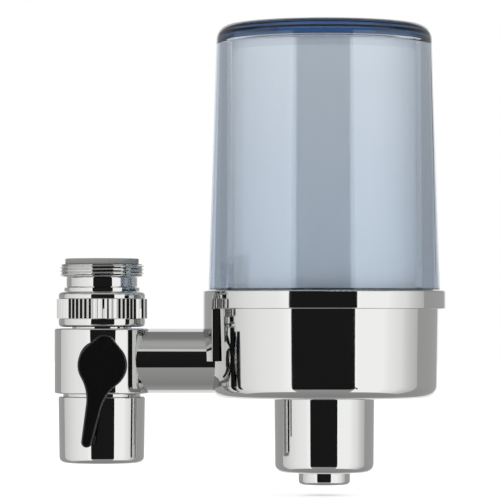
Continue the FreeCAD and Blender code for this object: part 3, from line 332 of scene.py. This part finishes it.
# A Mix node's two colours are its sockets 6 and 7, and its mixed colour is output 2.
foot_painted_shadow = add_node(tree, "ShaderNodeMix", {
    0: clear_of_foot_shadow.outputs["Value"], 6: linear("#6f767c"), 7: linear("#ffffff"),
}, data_type="RGBA")
cover_low, cover_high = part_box("cover")
cover_axis = (cover_low[0] + cover_high[0]) / 2
beside_axis = add_node(tree, "ShaderNodeMath", {0: parts.outputs["X"], 1: cover_axis}, operation="SUBTRACT")
from_axis = add_node(tree, "ShaderNodeCombineXYZ", {
    "X": beside_axis.outputs["Value"], "Y": parts.outputs["Y"],
})
radius = add_node(tree, "ShaderNodeVectorMath", {0: from_axis.outputs["Vector"]}, operation="LENGTH")
section = add_node(tree, "ShaderNodeCombineXYZ", {"X": radius.outputs["Value"], "Z": parts.outputs["Z"]})
# Painted shade: the base colour turns dark blue round the ceiling's inner corner and fades away from it, for
# light the thick top wall bends away.
corner = (CEILING_RADIUS * MM, 0, cover_high[2] - TOP_WALL * MM)
from_corner = add_node(tree, "ShaderNodeVectorMath", {
    0: section.outputs["Vector"], 1: corner,
}, operation="DISTANCE")
clear_of_ceiling_shade = add_node(tree, "ShaderNodeMapRange", {
    "Value": from_corner.outputs["Value"], "From Min": CEILING_SHADE * MM,
    "From Max": (CEILING_SHADE + CEILING_SHADE_FADE) * MM,
})
ceiling_painted_shade = add_node(tree, "ShaderNodeMix", {
    0: clear_of_ceiling_shade.outputs["Result"], 6: linear("#0d1d30"), 7: foot_painted_shadow.outputs[2],
}, data_type="RGBA")
tree.links.new(ceiling_painted_shade.outputs[2], shader.inputs["Base Color"])
depth_tint = add_node(tree, "ShaderNodeVolumeAbsorption", {
    "Color": linear("#519cc9"), "Density": DEPTH_DENSITY,
})
tree.links.new(depth_tint.outputs["Volume"], tree.nodes["Material Output"].inputs["Volume"])
dress(clear_blue, "cover")


# Cartridge: a pressed carbon block in white melt-blown felt, between caps of
# moulded polypropylene. A glossy film lies round felt and caps, so that both show
# the softboxes and the dark gap between them.
white_felt, tree, shader = new_material("melt_blown_felt", {
    "Base Color": linear("#f4f5f6"), "Coat Weight": 1.0, "Coat IOR": 2.3, "Coat Roughness": 0.05,
})
add_grain(tree, shader, size_mm=0.6, height_mm=0.01, low=0.8, high=0.95)
dress(white_felt, "cartridge_wrap")
white_plastic, tree, shader = new_material("white_polypropylene", {
    "Base Color": linear("#e6e8ea"), "Coat Weight": 1.0, "Coat IOR": 2.3, "Coat Roughness": 0.05,
})
add_grain(tree, shader, size_mm=0.8, height_mm=0.004, low=0.35, high=0.5)
dress(white_plastic, "cartridge_top_cap", "cartridge_bottom_cap")
carbon, tree, shader = new_material("pressed_carbon", {"Base Color": linear("#161617")})
add_grain(tree, shader, size_mm=0.4, height_mm=0.05, low=0.8, high=0.95)
dress(carbon, "cartridge_core")


# Inner pieces: nitrile seals, an acetal cage, PTFE seats, brass turnings and
# stainless steel. Rubber is dull black, the plastics are waxy, and the bare
# metals keep the fine marks of the tool.
nitrile, tree, shader = new_material("black_nitrile", {"Base Color": linear("#141414")})
add_grain(tree, shader, size_mm=0.3, height_mm=0.01, low=0.4, high=0.55)
dress(nitrile, "nipple_washer", "stem_o_rings", "aerator_washer", "arm_o_ring", "cover_o_ring",
      "cartridge_seal")
acetal, tree, shader = new_material("white_acetal", {"Base Color": linear("#f1f2f3")})
add_grain(tree, shader, size_mm=0.8, height_mm=0.004, low=0.35, high=0.5)
dress(acetal, "aerator_cage")
ptfe, tree, shader = new_material("white_ptfe", {"Base Color": linear("#ecece8")})
add_grain(tree, shader, size_mm=0.5, height_mm=0.003, low=0.4, high=0.5)
dress(ptfe, "seat_top", "seat_bottom", "seat_side")
brass, tree, shader = new_material("turned_brass", {"Base Color": linear("#c9a45c"), "Metallic": 1.0})
add_grain(tree, shader, size_mm=0.3, height_mm=0.003, low=0.2, high=0.32)
dress(brass, "seat_retainer", "valve_stem", "arm_lock_nut")
steel, tree, shader = new_material("stainless_steel", {"Base Color": linear("#b9bbbd"), "Metallic": 1.0})
add_grain(tree, shader, size_mm=0.3, height_mm=0.003, low=0.25, high=0.38)
dress(steel, "nut_snap_ring", "aerator_screen")


# Camera: at the photograph's eye level, a metre in front and looking slightly up
# at the middle of the frame. The pixel rows and columns are the photograph's.
FRAME_PIXELS = 500
PIXEL_MM = 0.2844
AXIS_PIXEL = 102
TOP_PIXEL = 264.3
EYE_PIXEL = 317
DISTANCE = 1.0
SENSOR_WIDTH = 36.0
NEAREST_SEEN = 0.05

middle = FRAME_PIXELS / 2
aim = Vector(((middle - AXIS_PIXEL) * PIXEL_MM * MM, 0, (TOP_PIXEL - middle) * PIXEL_MM * MM))
eye = Vector((aim.x, -DISTANCE, (TOP_PIXEL - EYE_PIXEL) * PIXEL_MM * MM))
bpy.ops.object.camera_add(location=eye)
camera = bpy.context.object
camera.rotation_euler = (aim - eye).to_track_quat("-Z", "Y").to_euler()
camera.data.sensor_width = SENSOR_WIDTH
camera.data.lens = SENSOR_WIDTH * DISTANCE / (FRAME_PIXELS * PIXEL_MM * MM)
camera.data.clip_start = NEAREST_SEEN
bpy.context.scene.camera = camera


# Softboxes: two curved white panels stand to the left and right of the object,
# brightest at their inner edges. Metal and plastic show them, the camera doesn't.
# Matt surfaces behind clear plastic get a little more light, to make up for loss.
PANEL_RADIUS = 0.46
PANEL_FOOT = -0.46
PANEL_HEAD = 0.21
PANEL_STEP = 1.5
BRIGHTEST = 1.5
HALF_ROUND = 180
LIGHT_INSIDE = 1.6
# A ray's Diffuse Depth is past this once the ray has left a matt surface.
MATT_DEPTH = 0.5
LEFT_PANEL = [(31, 1.41), (35, 1.35), (43, 1.25), (63, 1.19), (81, 1.08), (107, 0.85), (112, 0.81)]
RIGHT_PANEL = [(31, 1.50), (34, 1.35), (60, 1.35), (66, 1.24), (80, 1.10), (87, 0.91), (92, 0.82),
               (103, 0.66)]


def degrees_sideways(tree, parts):
    """The angle of a place seen from the origin, from straight ahead to either side."""
    ahead = add_node(tree, "ShaderNodeMath", {0: parts.outputs["Y"], 1: -1.0}, operation="MULTIPLY")
    turned = add_node(tree, "ShaderNodeMath", {
        0: parts.outputs["X"], 1: ahead.outputs["Value"],
    }, operation="ARCTAN2")
    either_side = add_node(tree, "ShaderNodeMath", {0: turned.outputs["Value"]}, operation="ABSOLUTE")
    degrees = add_node(tree, "ShaderNodeMath", {
        0: either_side.outputs["Value"], 1: math.degrees(1),
    }, operation="MULTIPLY")
    return degrees.outputs["Value"]


def light_levels(tree, place, levels, start):
    """Levels at angles in degrees; place runs from 0 at start to 1 at half a round from it."""
    ramp = add_node(tree, "ShaderNodeValToRGB", {"Fac": place})
    stops = ramp.color_ramp.elements
    while len(stops) < len(levels):
        stops.new(1.0)
    for stop, (degrees, level) in zip(stops, levels):
        stop.position = (degrees - start) / HALF_ROUND
        stop.color = (level, level, level, 1.0)
    return ramp.outputs["Color"]


def add_panel(name, side, levels):
    """A softbox on a circle round the middle of the view, with its levels by angle."""
    bpy.ops.object.select_all(action="DESELECT")
    bpy.ops.mesh.primitive_plane_add(size=MM)
    panel = bpy.context.object
    panel.name = name
    start, end = math.radians(levels[0][0]), math.radians(levels[-1][0])
    bpy.ops.object.mode_set(mode="EDIT")
    bpy.ops.mesh.merge(type="CENTER")
    inner_edge = Vector((side * math.sin(start), -math.cos(start), 0)) * PANEL_RADIUS
    bpy.ops.transform.translate(value=inner_edge + Vector((0, 0, PANEL_FOOT)))
    bpy.ops.mesh.extrude_vertices_move(TRANSFORM_OT_translate={"value": (0, 0, PANEL_HEAD - PANEL_FOOT)})
    bpy.ops.mesh.select_all(action="SELECT")
    steps = round(math.degrees(end - start) / PANEL_STEP)
    bpy.ops.mesh.spin(steps=steps, angle=side * (start - end), center=(0, 0, 0), axis=(0, 0, 1))
    bpy.ops.object.mode_set(mode="OBJECT")
    panel.location.x = aim.x
    cloth, tree = new_material(name + "_cloth", {})[:2]
    place = add_node(tree, "ShaderNodeTexCoord")
    parts = add_node(tree, "ShaderNodeSeparateXYZ", {"Vector": place.outputs["Object"]})
    turn = add_node(tree, "ShaderNodeMath", {
        0: degrees_sideways(tree, parts), 1: HALF_ROUND,
    }, operation="DIVIDE")
    shares = [(degrees, level / BRIGHTEST) for degrees, level in levels]
    level = add_node(tree, "ShaderNodeMath", {
        0: light_levels(tree, turn.outputs["Value"], shares, start=0), 1: BRIGHTEST,
    }, operation="MULTIPLY")
    rays = add_node(tree, "ShaderNodeLightPath")
    from_matt = add_node(tree, "ShaderNodeMath", {0: rays.outputs["Diffuse Depth"], 1: MATT_DEPTH},
                         operation="GREATER_THAN")
    from_inside = add_node(tree, "ShaderNodeMath", {
        0: from_matt.outputs["Value"], 1: rays.outputs["Is Transmission Ray"],
    }, operation="MULTIPLY")
    strength = add_node(tree, "ShaderNodeMix", {
        "Factor": from_inside.outputs["Value"], "A": level.outputs["Value"], "B": LIGHT_INSIDE,
    }, data_type="FLOAT")
    light = add_node(tree, "ShaderNodeEmission", {"Strength": strength.outputs["Result"]})
    tree.links.new(light.outputs["Emission"], tree.nodes["Material Output"].inputs["Surface"])
    panel.data.materials.append(cloth)
    panel.visible_camera = False


add_panel("left_softbox", -1, LEFT_PANEL)
add_panel("right_softbox", 1, RIGHT_PANEL)


# Room: what stands behind the panels, with levels by the angle upwards in zones that
# start at an angle sideways. Metal and clear plastic show grey walls, a lit strip, a
# dark gap and a pale backdrop. Matt surfaces get even light, and the camera sees white.
GAP_SIDE = 60
GAP_FOOT = -23
GAP_HEAD = 34
GAP_EDGE = 1
GAP_DARKNESS = 0.97
FRONT_ROOM = [(-90, 0.32), (0, 0.46), (34, 0.48), (36, 0.88), (41, 0.88), (44, 0.47), (58, 0.55), (72, 0.50),
              (82, 0.33), (90, 0.28)]
BACK_SIDE = 90
BACK_EDGE = 10
BACK_ROOM = [(-90, 0.32), (0, 0.46), (36, 0.25), (90, 0.28)]
BACKDROP_SIDE = 160
BACKDROP_SIDE_CLEAR = 125
BACKDROP_EDGE = 2
BACKDROP = [(-90, 0.32), (-55, 0.46), (-50, 1.0), (50, 1.0), (55, 0.25), (90, 0.28)]
BACKDROP_CLEAR = [(-90, 0.32), (-50, 0.46), (-42, 0.85), (-9, 0.85), (-5, 0.46), (6, 0.46), (10, 0.85),
                  (36, 0.85), (46, 0.4), (90, 0.28)]
EVEN_LIGHT = 1.0
CAMERA_WHITE = 1.0

world = bpy.data.worlds.new("studio")
bpy.context.scene.world = world
world.use_nodes = True
tree = world.node_tree
background = tree.nodes["Background"]
rays = add_node(tree, "ShaderNodeLightPath")
direction = add_node(tree, "ShaderNodeTexCoord")
parts = add_node(tree, "ShaderNodeSeparateXYZ", {"Vector": direction.outputs["Generated"]})
sideways = degrees_sideways(tree, parts)
turned_up = add_node(tree, "ShaderNodeMath", {0: parts.outputs["Z"]}, operation="ARCSINE")
upward = add_node(tree, "ShaderNodeMath", {
    0: turned_up.outputs["Value"], 1: math.degrees(1),
}, operation="MULTIPLY").outputs["Value"]
in_gap = 1.0
for angle, outside, inside in (
        (sideways, GAP_SIDE + GAP_EDGE, GAP_SIDE - GAP_EDGE),
        (upward, GAP_FOOT - GAP_EDGE, GAP_FOOT + GAP_EDGE),
        (upward, GAP_HEAD + GAP_EDGE, GAP_HEAD - GAP_EDGE)):
    edge = add_node(tree, "ShaderNodeMapRange", {
        "Value": angle, "From Min": outside, "From Max": inside,
    }, interpolation_type="SMOOTHSTEP")
    in_gap = add_node(tree, "ShaderNodeMath", {
        0: in_gap, 1: edge.outputs["Result"],
    }, operation="MULTIPLY").outputs["Value"]
half_turns = add_node(tree, "ShaderNodeMath", {0: upward, 1: HALF_ROUND}, operation="DIVIDE")
rise = add_node(tree, "ShaderNodeMath", {0: half_turns.outputs["Value"], 1: 0.5}, operation="ADD")
room = light_levels(tree, rise.outputs["Value"], FRONT_ROOM, start=-HALF_ROUND / 2)
for levels, side, edge_width, which_rays in (
        (BACK_ROOM, BACK_SIDE, BACK_EDGE, 1.0),
        (BACKDROP_CLEAR, BACKDROP_SIDE_CLEAR, BACKDROP_EDGE, rays.outputs["Is Transmission Ray"]),
        (BACKDROP, BACKDROP_SIDE, BACKDROP_EDGE, 1.0)):
    edge = add_node(tree, "ShaderNodeMapRange", {
        "Value": sideways, "From Min": side - edge_width, "From Max": side + edge_width,
    }, interpolation_type="SMOOTHSTEP")
    in_zone = add_node(tree, "ShaderNodeMath", {
        0: edge.outputs["Result"], 1: which_rays,
    }, operation="MULTIPLY")
    zone = light_levels(tree, rise.outputs["Value"], levels, start=-HALF_ROUND / 2)
    room = add_node(tree, "ShaderNodeMix", {
        "Factor": in_zone.outputs["Value"], "A": room, "B": zone,
    }, data_type="FLOAT").outputs["Result"]
dark = add_node(tree, "ShaderNodeMath", {0: in_gap, 1: GAP_DARKNESS}, operation="MULTIPLY")
lit = add_node(tree, "ShaderNodeMath", {0: 1.0, 1: dark.outputs["Value"]}, operation="SUBTRACT")
shown = add_node(tree, "ShaderNodeMath", {0: room, 1: lit.outputs["Value"]}, operation="MULTIPLY")
in_gloss = add_node(tree, "ShaderNodeMath", {
    0: rays.outputs["Is Glossy Ray"], 1: rays.outputs["Is Transmission Ray"],
}, operation="MAXIMUM")
on_gloss = add_node(tree, "ShaderNodeMix", {
    "Factor": in_gloss.outputs["Value"], "A": EVEN_LIGHT, "B": shown.outputs["Value"],
}, data_type="FLOAT")
on_matt = add_node(tree, "ShaderNodeMix", {
    "Factor": rays.outputs["Is Transmission Ray"], "A": EVEN_LIGHT, "B": LIGHT_INSIDE,
}, data_type="FLOAT")
from_matt = add_node(tree, "ShaderNodeMath", {0: rays.outputs["Diffuse Depth"], 1: MATT_DEPTH},
                     operation="GREATER_THAN")
on_object = add_node(tree, "ShaderNodeMix", {
    "Factor": from_matt.outputs["Value"], "A": on_gloss.outputs["Result"], "B": on_matt.outputs["Result"],
}, data_type="FLOAT")
strength = add_node(tree, "ShaderNodeMix", {
    "Factor": rays.outputs["Is Camera Ray"], "A": on_object.outputs["Result"], "B": CAMERA_WHITE,
}, data_type="FLOAT")
tree.links.new(strength.outputs["Result"], background.inputs["Strength"])
background.inputs["Color"].default_value = linear("#ffffff")


# Floor: a pale sheet under the object that keeps its soft shadow. It is clear
# from below, so that the underside of the object can be seen, and metal and
# plastic see the room through it.
FLOOR_DROP = 3.0
FLOOR_SIZE = 6.0
FLOOR_GLOW = 0.42

floor_level = cad_box[0][2] - FLOOR_DROP * MM
bpy.ops.object.select_all(action="DESELECT")
bpy.ops.mesh.primitive_plane_add(size=FLOOR_SIZE, location=(aim.x, 0, floor_level))
floor = bpy.context.object
floor.name = "floor"
floor_paper, tree, shader = new_material("white_paper", {
    "Base Color": linear("#f4f4f4"), "Roughness": 0.9, "Emission Color": linear("#ffffff"),
    "Specular IOR Level": 0.0,
})
rays = add_node(tree, "ShaderNodeLightPath")
glow = add_node(tree, "ShaderNodeMath", {
    0: rays.outputs["Is Camera Ray"], 1: FLOOR_GLOW,
}, operation="MULTIPLY")
tree.links.new(glow.outputs["Value"], shader.inputs["Emission Strength"])
in_gloss = add_node(tree, "ShaderNodeMath", {
    0: rays.outputs["Is Glossy Ray"], 1: rays.outputs["Is Transmission Ray"],
}, operation="MAXIMUM")
from_below = add_node(tree, "ShaderNodeNewGeometry")
unseen = add_node(tree, "ShaderNodeMath", {
    0: in_gloss.outputs["Value"], 1: from_below.outputs["Backfacing"],
}, operation="MAXIMUM")
clear = add_node(tree, "ShaderNodeBsdfTransparent")
mixed = add_node(tree, "ShaderNodeMixShader", {
    "Fac": unseen.outputs["Value"], 1: shader.outputs["BSDF"], 2: clear.outputs["BSDF"],
})
tree.links.new(mixed.outputs["Shader"], tree.nodes["Material Output"].inputs["Surface"])
floor.data.materials.append(floor_paper)

bpy.context.scene.view_settings.view_transform = "Standard"
